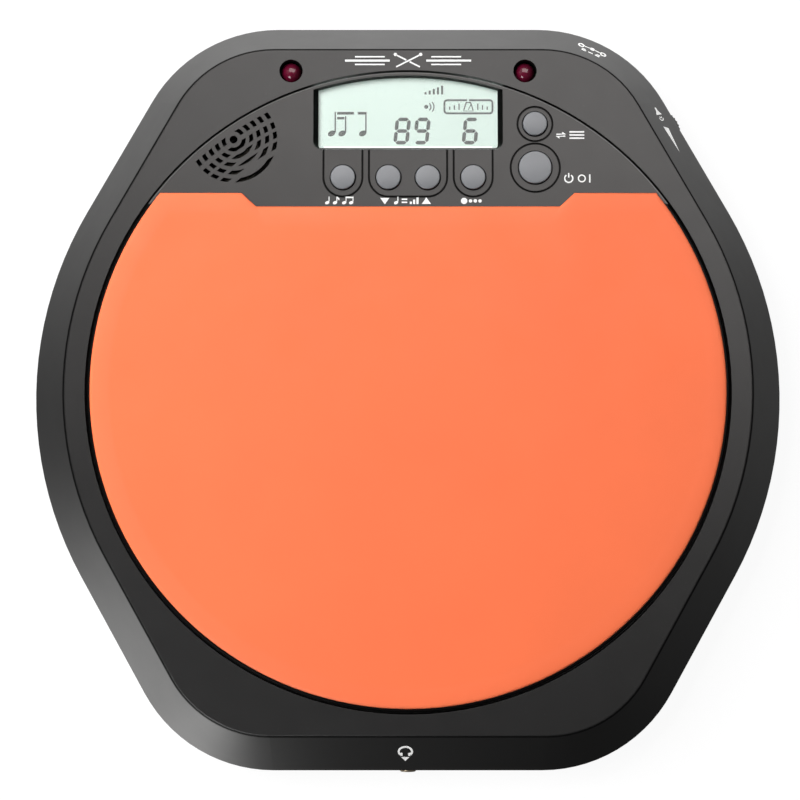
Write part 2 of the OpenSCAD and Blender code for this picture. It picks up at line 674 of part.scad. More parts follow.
module speaker_clamp() color(PART_BLACK) at_speaker() union() {
    ring(14.8, 13.1, clamp_z, rim_z);
    for (a = EAR_ANGLES) rotate([0, 0, a]) difference() {
        union() {
            translate([ear_out, 0, clamp_z]) cylinder(r = ear_r, h = rim_z - clamp_z, $fn = 40);
            box([14, ear_out], [-ear_r, ear_r], [clamp_z, rim_z]);
        }
        translate([ear_out, 0, 29]) cylinder(r = 1.15, h = 4, $fn = 24);
    }
}

// ---------------------------------------------------------------- volume

module volume_board() color(BOARD_GREEN) difference() {
    at_side(0, 0) box([108, 130.6], [wheel_along - 9, wheel_along + 9],
        [volume_board_z, volume_board_top]);
    at_volume_screws(4) cylinder(r = board_hole_r, h = 4, $fn = 24);
}
// base of the potentiometer with the post the wheel turns on
module volume_pot() color([0.2, 0.22, 0.25]) at_side(wheel_out, wheel_along) {
    translate([0, 0, volume_board_top]) cylinder(r = 4, h = 1.5, $fn = 48);
    translate([0, 0, 7.9]) cylinder(r = 1.5, h = 3.35, $fn = 48);
    translate([0, 0, 11.2]) cylinder(r = 2.2, h = 0.8, $fn = 48);
    box([-12, -3], [-3.5, 3.5], [volume_board_top, 7.9]);
}
ridge_r = 0.32;
module volume_wheel() color([0.07, 0.07, 0.08])
    at_side(wheel_out, wheel_along, wheel_z0) difference() {
        union() {
            cylinder(r = wheel_r - 0.3, h = wheel_h, $fn = 72);
            for (i = [0:wheel_ridges - 1]) rotate([0, 0, i * 360 / wheel_ridges])
                translate([wheel_r - ridge_r, 0, 0.15])
                    cylinder(r = ridge_r, h = wheel_h - 0.3, $fn = 8);
        }
        // bore and the ring-shaped dip in the upper face
        translate([0, 0, -1]) cylinder(r = 1.56, h = wheel_h + 2, $fn = 48);
        translate([0, 0, wheel_h - 0.8]) ring(wheel_r - 2, 3.2, 0, 2);
    }

// ---------------------------------------------------------------- sockets

module dc_jack() color([0.08, 0.08, 0.09]) at_dc(0, dc_z) difference() {
    union() {
        box([36, 47.9], [-4.5, 4.5], [-4.4, 4.5]);
        along_x(47.5) cylinder(r = 3.8, h = 5.0, $fn = 48);
    }
    along_x(43) cylinder(r = 2.85, h = 12, $fn = 48);
    along_x(38) cylinder(r = 0.82, h = 8, $fn = 32);
}
// root held in the body, then the free pin and its tapered tip
module dc_pin() color([0.8, 0.8, 0.82]) at_dc(0, dc_z) {
    along_x(38) cylinder(r = 0.8, h = 5.5, $fn = 48);
    along_x(43.2) cylinder(r = 1.0, h = 7.8, $fn = 48);
    along_x(51) cylinder(r1 = 1.0, r2 = 0.6, h = 0.6, $fn = 48);
}

module headphone_jack() color([0.1, 0.1, 0.11]) difference() {
    union() {
        box([-5.2, 5.2], [-131.1, -118.5], [audio_board_top, 12]);
        at_headphone(-130.8) cylinder(r = 3.1, h = 6.9, $fn = 48);
        at_headphone(-137.6) cylinder(r1 = 3.1, r2 = 2.7, h = 0.5, $fn = 48);
    }
    at_headphone(-124) cylinder(r = 1.8, h = 16, $fn = 48);
}
module audio_board() color(BOARD_GREEN) difference() {
    box([-12, 12], [-130.8, -110.5], [audio_board_z, audio_board_top]);
    at_each(AUDIO_SCREWS, 4) cylinder(r = board_hole_r, h = 4, $fn = 24);
}

// ---------------------------------------------------------------- sensor

// stack hanging below the deck's centre
foam_t = 2;
disc_t = 0.3;
ceramic_t = 0.25;
foam_z = ledge_z - foam_t;
disc_z = foam_z - disc_t;

module sensor_foam() color([0.9, 0.88, 0.8])
    translate([0, 0, foam_z]) cylinder(r = 12, h = foam_t);
module piezo_disc() color([0.8, 0.65, 0.3])
    translate([0, 0, disc_z]) cylinder(r = 17.5, h = disc_t);
module piezo_ceramic() color([0.92, 0.92, 0.9])
    translate([0, 0, disc_z - ceramic_t]) cylinder(r = 12.5, h = ceramic_t);
module support_pads() color([0.12, 0.12, 0.12])
    at_each(POSTS, post_top) cylinder(r = post_r, h = ledge_z - post_top);

// ---------------------------------------------------------------- battery

module battery_door() color(SHELL_BLACK) difference() {
    half_x = bat_half_x + 0.6;
    union() {
        box([-half_x, half_x], [door_y0, hinge_y], [floor_z, 4]);
        // hinge barrel and pins
        hinge_rod(hinge_z - floor_z, half_x, $fn = 40);
        hinge_rod(1.0, bat_half_x + 2.4, $fn = 40);
        // latch tongue
        box([-7, 7], [door_y0 + 0.2, door_y0 + 1.4], [3.5, 8.4]);
        // ribs between the cells
        for (s = [-1, 1]) translate([0, bat_mid_y + s * cell_pitch / 2, 0])
            box([-22, 22], [-0.6, 0.6], [3.5, 5.6]);
    }
    // grip grooves
    for (i = [0:4]) translate([0, door_y0 + 8 + 1.8 * i, 0])
        box([-12, 12], [0, 0.9], [floor_z - 1, floor_z + 0.5]);
}

function cell_y(i) = bat_mid_y + (i - 1) * cell_pitch;

// the middle cell points the other way
module battery_cells() color([0.25, 0.35, 0.6]) for (i = [0:2])
    translate([0, cell_y(i), cell_z]) rotate([0, 90, i == 1 ? 180 : 0]) translate([0, 0, -22])
        turned([[0, 0], [cell_r - 0.4, 0], [cell_r, 0.4], [cell_r, cell_len - 0.6],
            [cell_r - 0.6, cell_len], [2.7, cell_len], [2.6, cell_len + 1.2],
            [0, cell_len + 1.2]], $fn = 64);
module battery_contacts() color([0.82, 0.82, 0.84]) for (i = [0:2], s = [-1, 1])
    box([s * 29.45 - 0.25, s * 29.45 + 0.25], [cell_y(i) - 5.5, cell_y(i) + 5.5], [6, 17.5]);

// conical springs, wide at the contacts
spring_steps = 42;
spring_turns = 3.5;
module battery_springs() color([0.85, 0.85, 0.87]) for (i = [0:2]) {
    side = i == 1 ? 1 : -1;
    translate([0, cell_y(i), cell_z])
        wire([for (k = [0:spring_steps])
            let (u = k / spring_steps, r = 4.6 - 1.4 * u, a = 360 * spring_turns * u)
            [side * (28.8 - 6.2 * u), r * cos(a), r * sin(a)]], 0.35, up = [1, 0.01, 0.01]);
}

// ---------------------------------------------------------------- cables

// each path is a list of [x, y, z] points along the cable
module battery_cable() color(CABLE_RED) strands(smooth_path([
    [20, 8, 14], [18, 22, 15], [4, 40, 19], [-10, 54, 23.5], [-14, 65.9, 24.6]]),
    r = 0.6, gap = [0.9, 0, 0]);
module sensor_cable() color([0.15, 0.15, 0.15]) strands(smooth_path([
    [0, 13, 30.2], [1, 24, 27.5], [4, 38, 24.5], [1, 54, 24], [0, 65.9, 24.6]]),
    r = 0.5, gap = [0.8, 0, 0]);
module speaker_cable() color(CABLE_RED) strands(smooth_path([
    [-48, 72, 26.2], [-46, 62, 22.5], [-38, 54, 21], [-29, 58, 23], [-27, 65.9, 24.6]]),
    r = 0.5, gap = [0, 0, 0.75]);
module audio_cable() color(CABLE_GREY) strands(smooth_path([
    [4, -109.8, 8], [22, -97, 11], [36.5, -70, 14], [38.5, -30, 17],
    [37, 6, 20], [30, 36, 23], [18, 56, 24], [16, 65.9, 24.8]]),
    r = 0.6, gap = [0, 0, 1.5], steps = [-1, 0, 1]);
module power_cable() color(CABLE_RED) strands(smooth_path([
    [62.3, 113.6, 10], [57.5, 109, 12], [56, 100, 14.5], [62, 92, 17],
    [70, 87.5, 20.5], [71.8, 82, 24], [67.2, 80.4, 24.8]]),
    r = 0.6, gap = [0, 0.4, 0.8]);
module volume_cable() color(CABLE_GREY) strands(smooth_path([
    [74.8, 84.4, 7.9], [75.5, 78.5, 10.5], [76.5, 74, 15],
    [75.5, 71.5, 20], [72, 71.8, 24], [67.4, 73, 24.8]]),
    r = 0.45, gap = [0.24, 0.4, 0.77]);
// one wire from each lamp board
module led_cable() color(CABLE_GREY) {
    wire(smooth_path([[38.5, 114.2, 27.2], [38, 112.5, 25.2], [38, 111.5, 24.6],
        [37.6, 110.4, 24.6]]), 0.5, up = [1, 0.02, 0.05]);
    wire(smooth_path([[-38.5, 114.2, 27.2], [-30, 116.5, 24.5], [-10, 117.5, 22.5],
        [16, 117, 22.5], [33, 114, 23.6], [34.6, 110.4, 24.6]], 6), 0.5);
}

// ---------------------------------------------------------------- feet and screws

module rubber_feet() color([0.16, 0.16, 0.16]) at_each(FEET) turned([
    [0, 0], [7.2, 0], [7.8, 0.6], [foot_r, 1.2], [foot_r, foot_top], [0, foot_top]], $fn = 64);
module housing_screws() color(SCREW_STEEL) at_each(HOUSE_SCREWS, house_seat_z)
    pan_screw(head_r = 2.8, head_h = 2.2, shank_r = 1.2, length = 16, $fn = 40);
module deck_screws() color(SCREW_STEEL) at_each(DECK_SCREWS, ledge_under)
    pan_screw(head_r = 2.3, head_h = 1.6, shank_r = 1.0, length = 4.2, $fn = 32);
module small_screws() color(SCREW_STEEL) {
    at_each(BOARD_BOSSES, board_z) small_screw(5);
    at_each(EARS, clamp_z) small_screw(4.4);
    at_each(AUDIO_SCREWS, audio_board_top) mirror([0, 0, 1]) small_screw(3.2);
    at_volume_screws(volume_board_top) mirror([0, 0, 1]) small_screw(3.4);
}

// ---------------------------------------------------------------- nodes

top_housing();
bottom_housing();
deck_plate();
strike_pad();
pad_adhesive();
lcd_window();
lcd_glass();
lcd_backlight();
lcd_frame();
zebra_strip();
main_board();
board_components();
keypad_mat();
key_rhythm();
key_tempo_down();
key_tempo_up();
key_beat();
key_mode();
key_power();
pill_rhythm();
pill_tempo_down();
pill_tempo_up();
pill_beat();
pill_mode();
pill_power();
led_left();
led_right();
led_boards();
speaker_frame();
speaker_cone();
speaker_magnet();
speaker_gasket();
speaker_clamp();
volume_wheel();
volume_pot();
volume_board();
dc_jack();
dc_pin();
headphone_jack();
audio_board();
piezo_disc();
piezo_ceramic();
sensor_foam();
support_pads();
battery_door();
battery_cells();
battery_springs();
battery_contacts();
battery_cable();
sensor_cable();
speaker_cable();
audio_cable();
power_cable();
led_cable();
volume_cable();
rubber_feet();
housing_screws();
deck_screws();
small_screws();
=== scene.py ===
"""Electronic drum practice pad with a control panel.

It lies flat on its rubber feet at z = 0, +z up. The striking surface takes the front (-y),
the display and the keys lie at the back (+y). Sizes are in mm unless a comment says otherwise.
"""
import json
import math
from functools import cached_property

import bpy
import bmesh
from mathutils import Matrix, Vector

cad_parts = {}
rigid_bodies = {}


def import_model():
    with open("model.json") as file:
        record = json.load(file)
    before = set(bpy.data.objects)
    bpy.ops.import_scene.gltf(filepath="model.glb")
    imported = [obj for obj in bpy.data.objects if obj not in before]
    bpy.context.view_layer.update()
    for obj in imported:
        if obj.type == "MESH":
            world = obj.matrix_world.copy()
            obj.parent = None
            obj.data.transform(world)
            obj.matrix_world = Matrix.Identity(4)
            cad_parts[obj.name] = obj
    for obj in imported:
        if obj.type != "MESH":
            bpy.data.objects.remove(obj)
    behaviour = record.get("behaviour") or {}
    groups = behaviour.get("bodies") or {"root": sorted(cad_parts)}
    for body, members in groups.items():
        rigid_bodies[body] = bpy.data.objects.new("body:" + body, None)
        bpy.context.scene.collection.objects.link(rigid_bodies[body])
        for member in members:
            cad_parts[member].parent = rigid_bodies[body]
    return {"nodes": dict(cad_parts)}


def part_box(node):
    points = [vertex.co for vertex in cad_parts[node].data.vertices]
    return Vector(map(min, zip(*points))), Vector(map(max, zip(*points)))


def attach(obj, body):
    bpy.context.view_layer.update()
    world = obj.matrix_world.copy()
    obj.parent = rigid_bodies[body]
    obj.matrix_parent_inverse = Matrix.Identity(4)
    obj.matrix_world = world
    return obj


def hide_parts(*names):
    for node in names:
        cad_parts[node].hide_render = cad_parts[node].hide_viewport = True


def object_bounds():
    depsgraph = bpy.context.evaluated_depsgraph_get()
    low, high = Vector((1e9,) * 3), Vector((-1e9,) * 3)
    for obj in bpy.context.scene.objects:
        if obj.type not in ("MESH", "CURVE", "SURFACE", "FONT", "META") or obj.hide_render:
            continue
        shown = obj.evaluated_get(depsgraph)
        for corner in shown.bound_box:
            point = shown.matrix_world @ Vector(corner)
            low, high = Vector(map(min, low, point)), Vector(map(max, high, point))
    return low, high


for old in list(bpy.data.objects):
    bpy.data.objects.remove(old, do_unlink=True)

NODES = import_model()["nodes"]
CAD_BOX = [list(corner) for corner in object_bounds()]
MM = 0.001


def box_mm(node):
    """Low and high corner of a CAD piece."""
    return [(c.x * 1000.0, c.y * 1000.0, c.z * 1000.0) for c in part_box(node)]


HALF_WIDTH = CAD_BOX[1][0] * 1000.0
DECK_TOP = box_mm("deck_plate")[1][2]
RING_TOP = box_mm("top_housing")[1][2]
LCD_TOP = box_mm("lcd_glass")[1][2]
PAD_BOTTOM = box_mm("strike_pad")[0][2]
PAD_RADIUS, EAR_Y, PAD_TOP = box_mm("strike_pad")[1]

# striking surface: its straight back edge steps forward between two ears
CUT_Y = EAR_Y - 4.9
EAR_INNER_X = 59.7
CUT_OUTER_X = 54.4

# deck zones for painted shade and a painted highlight
PANEL_Y = 66.0                    # the rim lies along the control panel behind this
GROOVE_Z = DECK_TOP - 0.13        # deck surface below this is in a groove or a hole
GROOVE_RADIUS = 113.4
PAD_RIM_RADIUS = 112.9
CHAMFER_RADII = (113.78, 114.32)
CHAMFER_Z = DECK_TOP - 0.52
JACK_TIP_Y = -131.15              # the headphone socket is metal in front of this

# slanted outer wall
WALL_Z = 15.5                     # height of its lower edge
WALL_RUN, WALL_RISE = 13.25, 21.0
WALL_SLOPE = math.hypot(WALL_RUN, WALL_RISE)
NORMAL_OUT, NORMAL_UP = WALL_RISE / WALL_SLOPE, WALL_RUN / WALL_SLOPE
CORNER_X, CORNER_Y, CORNER_RADIUS = 48.50, 83.0, 54.0   # back right corner, at WALL_Z
DC_ANGLE, DC_Z = 65.7, 26.6       # middle of the marks on that corner
SIDE_ANGLE = 29.4                 # direction of the flat right back side's normal

# ------------------------------------------------------------------ shader building


def tint(color, gain, lift=0.0):
    return (*[min(1.0, c * gain + lift) for c in color], 1.0)


class Shader:
    """Builds a node tree; wherever a value is taken, an output socket is linked instead."""

    def __init__(self, block, output="OutputMaterial"):
        block.use_nodes = True
        self.block, self.tree = block, block.node_tree
        self.tree.nodes.clear()
        self.output = self.add(output)

    def add(self, kind, inputs=(), **settings):
        node = self.tree.nodes.new("ShaderNode" + kind)
        for key, value in settings.items():
            setattr(node, key, value)
        self.feed(node, inputs)
        return node

    def feed(self, node, inputs):
        for key, value in dict(inputs).items():
            if hasattr(value, "node"):
                self.tree.links.new(value, node.inputs[key])
            else:
                node.inputs[key].default_value = value

    def show(self, socket):
        self.feed(self.output, {0: socket})

    @cached_property
    def place(self):
        return self.add("TexCoord").outputs["Object"]

    def noise(self, scale, detail=3.0):
        return self.add("TexNoise", {"Scale": scale, "Detail": detail, "Roughness": 0.55,
                                     "Vector": self.place}).outputs["Fac"]

    def remap(self, value, low, high, start=0.3, end=0.7):
        return self.add("MapRange", {"From Min": start, "From Max": end, "To Min": low,
                                     "To Max": high, "Value": value}).outputs["Result"]

    def mix(self, factor, first, second):
        inputs = {0: factor, 6: first, 7: second}
        return self.add("Mix", inputs, data_type="RGBA").outputs[2]

    def mix_shader(self, factor, first, second):
        return self.add("MixShader", {0: factor, 1: first, 2: second}).outputs[0]

    def calc(self, operation, first, second=0.0):
        return self.add("Math", {0: first, 1: second}, operation=operation).outputs[0]

    def dot(self, first, second):
        inputs = {0: first, 1: second}
        return self.add("VectorMath", inputs, operation="DOT_PRODUCT").outputs["Value"]

    def xyz(self):
        node = self.add("SeparateXYZ", {0: self.place})
        return [node.outputs[axis] for axis in "XYZ"]

    def radius(self):
        x, y, _ = self.xyz()
        x_squared = self.calc("MULTIPLY", x, x)
        y_squared = self.calc("MULTIPLY", y, y)
        return self.calc("SQRT", self.calc("ADD", x_squared, y_squared))

    def above(self, value, limit):
        return self.calc("GREATER_THAN", value, limit * MM)

    def below(self, value, limit):
        return self.calc("LESS_THAN", value, limit * MM)

    def between(self, value, low, high):
        return self.calc("MULTIPLY", self.above(value, low), self.below(value, high))


# ------------------------------------------------------------------ masks, 1 inside and 0 outside


# masks of painted shade and of a painted highlight dim or light a surface's colour
def cavity_painted_shade(shader):
    """Painted shade in the deck's grooves, key holes and window walls, and on its rim beside the
    striking surface.
    """
    _, y, z = shader.xyz()
    radius = shader.radius()
    low = shader.calc("MULTIPLY", shader.below(z, GROOVE_Z), shader.below(radius, GROOVE_RADIUS))
    by_pad = shader.calc("MULTIPLY", shader.above(radius, PAD_RIM_RADIUS),
                         shader.below(y, PANEL_Y))
    return shader.calc("MAXIMUM", low, by_pad)


def rim_painted_highlight(shader):
    """Painted highlight on the chamfer of the deck's rim along the control panel."""
    _, y, z = shader.xyz()
    on_chamfer = shader.between(shader.radius(), *CHAMFER_RADII)
    behind = shader.calc("MULTIPLY", on_chamfer, shader.above(y, PANEL_Y))
    return shader.calc("MULTIPLY", behind, shader.above(z, CHAMFER_Z))


def crease_painted_shade(shader):
    """Painted shade, a thin dark line, on the narrow rounding between the big bevel and the flat
    ring.
    """
    return shader.between(shader.xyz()[2], RING_TOP - 0.46, RING_TOP - 0.06)


def key_side_painted_shade(shader):
    """Painted shade on the lower part of a key, where it stands in its hole."""
    return shader.below(shader.xyz()[2], DECK_TOP + 0.25)


def bushing(shader):
    """The metal tip of the headphone socket."""
    return shader.below(shader.xyz()[1], JACK_TIP_Y)


# ------------------------------------------------------------------ colour patterns, and painted shade on a lamp dome's edge


def stripes(shader, color):
    wave = shader.add("TexWave", {"Scale": 900.0, "Distortion": 0.6, "Vector": shader.place},
                      bands_direction="X")
    amount = shader.calc("MULTIPLY", wave.outputs["Fac"], 0.6)
    return shader.mix(amount, color, (0.4, 0.4, 0.38, 1))


def traces(shader, color):
    black, white = (0, 0, 0, 1), (1, 1, 1, 1)
    brick = shader.add("TexBrick", {"Scale": 260.0, "Mortar Size": 0.05, "Color1": black,
                                    "Color2": black, "Mortar": white, "Vector": shader.place})
    amount = shader.calc("MULTIPLY", brick.outputs["Color"], 0.55)
    return shader.mix(amount, color, (0.05, 0.22, 0.09, 1))


# painted shade: darker where the surface turns away from the view, towards the lamp dome's outline
def dome_edge_painted_shade(shader, color):
    weight = shader.add("LayerWeight", {"Blend": 0.45})
    return shader.mix(weight.outputs["Facing"], color, (0.02, 0.0006, 0.004, 1))


def cell_bands(shader, color):
    """Copper-coloured ends beyond 12.5 mm either side of the middle."""
    distance = shader.add("Math", {0: shader.xyz()[0]}, operation="ABSOLUTE").outputs[0]
    return shader.mix(shader.above(distance, 12.5), color, (0.55, 0.30, 0.10, 1))


# ------------------------------------------------------------------ finishes


def add_dust(shader, tone, color, grain, amount):
    """Sparse dust and pin marks."""
    specks = shader.remap(shader.noise(grain * 0.37, detail=1.0), 0.0, 1.0, start=0.70, end=0.78)
    return shader.mix(shader.calc("MULTIPLY", specks, amount), tone, tint(color, 2.2, 0.01))


def add_wear(shader, tone, color, rounded, worn):
    """Lighter colour where the rounded normal leaves the true one."""
    normal = shader.add("NewGeometry").outputs["Normal"]
    wear = shader.calc("SUBTRACT", 1.0, shader.dot(rounded, normal))
    wear = shader.calc("MULTIPLY", wear, worn * 4.0)
    wear = shader.calc("MINIMUM", wear, 0.6)
    return shader.mix(wear, tone, tint(color, 1.6, 0.02))


def add_painted_highlight(shader, tone, principled, mask):
    """Painted highlight: a lighter grey that glows more towards +x."""
    tone = shader.mix(mask, tone, (0.07, 0.068, 0.066, 1))
    level = shader.calc("ADD", shader.calc("MULTIPLY", shader.xyz()[0], 0.55), 0.10)
    shader.feed(principled, {"Emission Color": (0.95, 0.93, 0.92, 1),
                             "Emission Strength": shader.calc("MULTIPLY", mask, level)})
    return tone


def finish(name, color, rough, metal=0.0, vary=0.10, cloud=45.0, grain=2600.0, depth=0.012,
           rough_vary=0.05, spec=0.5, edge=0.18, worn=0.0, coat=0.0, clear=0.0, sheen=0.0,
           pattern=None, dust=0.0, dark=None, dim=0.15, plated=None, bright=None, painted_glow=0.0):
    """Cloudy colour and gloss, fine grain and rounded, slightly lighter edges.

    vary, rough_vary: range of colour and roughness; cloud, grain: noise scales;
    depth: grain height in mm; edge: rounding radius in mm; clear: transmission;
    dark, plated, bright: masks of painted shade, metal and a painted highlight; dim: what dark
    leaves. A material that glows does so as painted light.
    """
    shader = Shader(bpy.data.materials.new(name))
    principled = shader.add("BsdfPrincipled")
    shader.show(principled.outputs[0])
    clouds = shader.remap(shader.noise(cloud, detail=4.0), 0.0, 1.0)
    tone = shader.mix(clouds, tint(color, 1 - vary), tint(color, 1 + vary))
    if pattern:
        tone = pattern(shader, tone)
    height = shader.noise(grain, detail=2.0)
    if dust:
        tone = add_dust(shader, tone, color, grain, dust)
    bump = shader.add("Bump", {"Strength": 1.0, "Distance": depth * MM, "Height": height})
    if edge:
        rounded = shader.add("Bevel", {"Radius": edge * MM}, samples=4).outputs[0]
        shader.feed(bump, {"Normal": rounded})
        if worn:
            tone = add_wear(shader, tone, color, rounded, worn)
    shader.feed(principled, {"Specular IOR Level": spec, "Metallic": metal})
    # painted shade: colour and specular dimmed inside the mask
    if dark:
        mask = dark(shader)
        tone = shader.mix(mask, tone, tint(color, dim))
        loss = shader.calc("MULTIPLY", mask, spec * (1 - dim))
        shader.feed(principled, {"Specular IOR Level": shader.calc("SUBTRACT", spec, loss)})
    # painted highlight
    if bright:
        tone = add_painted_highlight(shader, tone, principled, bright(shader))
    if plated:
        mask = plated(shader)
        tone = shader.mix(mask, tone, (0.66, 0.55, 0.40, 1))
        shader.feed(principled, {"Metallic": mask})
    # painted light: the material glows in its own colour
    if painted_glow:
        shader.feed(principled, {"Emission Color": tone, "Emission Strength": painted_glow})
    roughness = shader.remap(shader.noise(cloud * 2.3), max(0.02, rough - rough_vary),
                             min(1.0, rough + rough_vary))
    shader.feed(principled, {
        "Normal": bump.outputs[0], "Base Color": tone, "Roughness": roughness,
        "Coat Weight": coat, "Coat Roughness": 0.06,
        "Transmission Weight": clear, "Sheen Weight": sheen})
    return shader.block


def lens_material():
    """Thin clear plastic with a soft glare that grows at grazing angles."""
    shader = Shader(bpy.data.materials.new("m_lens_clear"))
    through = shader.add("BsdfTransparent", {0: (0.985, 1.0, 0.992, 1)})
    glare = shader.add("BsdfGlossy", {"Roughness": 0.06})
    bump = shader.add("Bump", {"Distance": 0.002 * MM, "Height": shader.noise(500.0)})
    shader.feed(glare, {"Normal": bump.outputs[0]})
    fresnel = shader.add("Fresnel", {0: 1.33}).outputs[0]
    shader.show(shader.mix_shader(fresnel, through.outputs[0], glare.outputs[0]))
    return shader.block


def lcd_material():
    """Pale green, slightly cloudy display with a very fine line pattern; its faint glowing is
    painted light that keeps it bright under the window's walls.
    """
    shader = Shader(bpy.data.materials.new("m_lcd"))
    principled = shader.add("BsdfPrincipled")
    clouds = shader.remap(shader.noise(35.0, detail=2.0), 0.0, 1.0)
    tone = shader.mix(clouds, (0.500, 0.572, 0.540, 1), (0.515, 0.588, 0.555, 1))
    wave = shader.add("TexWave", {"Scale": 1100.0, "Vector": shader.place})
    lines = shader.calc("MULTIPLY", wave.outputs["Fac"], 0.04)
    tone = shader.mix(lines, tone, (0.46, 0.55, 0.51, 1))
    shader.feed(principled, {"Base Color": tone, "Emission Color": tone,
                             "Emission Strength": 0.32, "Roughness": 0.45})
    shader.show(principled.outputs[0])
    return shader.block


# finishes of the CAD material slots
SLOTS = {
    # a thin dark line of painted shade on the rounding between the bevel and the flat ring
    "shell_black": dict(
        color=(0.0068, 0.0066, 0.0066), rough=0.36, grain=2400, depth=0.006, vary=0.05,
        rough_vary=0.012, edge=0.12, worn=0.25, dust=0.25, dark=crease_painted_shade, dim=0.30),
    # painted shade in grooves, holes and beside the pad, and a painted highlight on the rim's
    # chamfer
    "panel_black": dict(
        color=(0.0120, 0.0112, 0.0108), rough=0.37, grain=2800, depth=0.005, vary=0.06,
        rough_vary=0.015, edge=0.15, worn=0.25, dust=0.25, dark=cavity_painted_shade, bright=rim_painted_highlight),
    "pad_orange": dict(
        color=(0.94, 0.170, 0.056), rough=0.55, grain=1900, depth=0.006, vary=0.03, cloud=22,
        edge=0, spec=0.35, sheen=0.05),
    "adhesive": dict(color=(0.72, 0.69, 0.58), rough=0.5, edge=0),
    "light_guide": dict(color=(0.82, 0.86, 0.84), rough=0.3, edge=0.1),
    "frame_plastic": dict(color=(0.035, 0.035, 0.037), rough=0.5),
    "conductive_rubber": dict(color=(0.03, 0.03, 0.032), rough=0.75, pattern=stripes),
    "board_green": dict(
        color=(0.012, 0.11, 0.035), rough=0.32, coat=0.4, pattern=traces, edge=0.1),
    "component_black": dict(color=(0.02, 0.02, 0.022), rough=0.42, edge=0.12),
    "mat_grey": dict(color=(0.10, 0.105, 0.11), rough=0.7, edge=0.1),
    # painted shade on the part of a key that stands in its hole
    "key_grey": dict(
        color=(0.150, 0.156, 0.167), rough=0.36, depth=0.003, vary=0.05, edge=0, dark=key_side_painted_shade),
    "steel": dict(
        color=(0.56, 0.56, 0.57), rough=0.3, metal=1.0, grain=5200, depth=0.004, edge=0.08),
    "cone_paper": dict(color=(0.16, 0.145, 0.12), rough=0.9, grain=1500, depth=0.03, edge=0),
    "magnet": dict(color=(0.09, 0.09, 0.095), rough=0.55, grain=900, depth=0.02, edge=0.2),
    "foam": dict(color=(0.04, 0.04, 0.042), rough=0.95, grain=1700, depth=0.12, edge=0),
    "foam_white": dict(color=(0.74, 0.71, 0.62), rough=0.95, grain=1700, depth=0.12, edge=0),
    "wheel_black": dict(color=(0.012, 0.012, 0.013), rough=0.4, depth=0.004, edge=0.08, worn=0.4),
    "nickel": dict(color=(0.66, 0.64, 0.60), rough=0.22, metal=1.0, depth=0.002, edge=0.08),
    "brass": dict(color=(0.66, 0.46, 0.18), rough=0.28, metal=1.0, depth=0.003, edge=0.05),
    "ceramic": dict(color=(0.78, 0.76, 0.72), rough=0.4, edge=0.05),
    "cell_wrap": dict(
        color=(0.02, 0.02, 0.022), rough=0.25, coat=0.5, pattern=cell_bands, depth=0.001,
        edge=0.1),
    "wire_red": dict(color=(0.45, 0.02, 0.015), rough=0.4, edge=0),
    "wire_black": dict(color=(0.02, 0.02, 0.02), rough=0.4, edge=0),
    "wire_grey": dict(color=(0.30, 0.30, 0.31), rough=0.4, edge=0),
    "foot_rubber": dict(color=(0.022, 0.022, 0.023), rough=0.78, grain=1300, depth=0.03, edge=0),
    # painted shade: the dome darkens towards its outline
    "led_red": dict(
        color=(0.122, 0.0034, 0.022), rough=0.18, rough_vary=0.02, coat=0.5, depth=0.0005,
        vary=0.12, edge=0, spec=0.25, clear=0.15, pattern=dome_edge_painted_shade),
}
MATERIALS = {slot: finish("m_" + slot, **values) for slot, values in SLOTS.items()}
MATERIALS["lens_clear"] = lens_material()
MATERIALS["lcd"] = lcd_material()

PRINT = finish("m_white_print", color=(0.86, 0.86, 0.85), rough=0.5, vary=0.02, depth=0.002,
               edge=0)
# white print whose glowing is painted light, so the marks on the slanted walls stay as bright as
# print on top
MARK = finish("m_white_mark", color=(0.80, 0.80, 0.79), rough=0.5, vary=0.02, depth=0.002,
              edge=0, painted_glow=0.62)
# painted highlight: a pale line that glows along the display's front edge
DISPLAY_PAINTED_HIGHLIGHT = finish("m_display_edge", color=(0.93, 0.95, 0.94), rough=0.4, vary=0.01,
                      depth=0.001, edge=0, painted_glow=0.5)
# painted shade: a dark strip along the display's front edge
DISPLAY_PAINTED_SHADE = finish("m_display_border", color=(0.012, 0.012, 0.012), rough=0.6, vary=0.05,
                        depth=0.001, edge=0, spec=0.1)
JACK = finish("m_headphone_jack", color=(0.02, 0.02, 0.022), rough=0.32, edge=0.1, depth=0.003,
              plated=bushing)
SEGMENT = finish("m_segment", color=(0.030, 0.040, 0.038), rough=0.5, vary=0.06, depth=0.0005,
                 edge=0)


def dress_cad_pieces():
    """A CAD material is named after its slot."""
    for name, piece in NODES.items():
        for holder in piece.material_slots:
            slot = holder.material.name.split(".")[0] if holder.material else ""
            if slot not in MATERIALS:
                slot = "frame_plastic"
            holder.material = JACK if name == "headphone_jack" else MATERIALS[slot]


# ------------------------------------------------------------------ mesh helpers


def point(x, y, z):
    return Vector((x * MM, y * MM, z * MM))


def new_object(name, shape, material):
    mesh = bpy.data.meshes.new(name)
    shape.to_mesh(mesh)
    shape.free()
    mesh.materials.append(material)
    made = bpy.data.objects.new(name, mesh)
    bpy.context.scene.collection.objects.link(made)
    return made


def add_object(name, shape, material, body="shell", sharp=None):
    """Adds an object that rides on a body; sharp is the smooth shading's limit in degrees."""
    bmesh.ops.recalc_face_normals(shape, faces=shape.faces)
    made = new_object(name, shape, material)
    if sharp:
        made.data.shade_smooth()
        made.data.set_sharp_from_angle(angle=math.radians(sharp))
    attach(made, body)
    return made


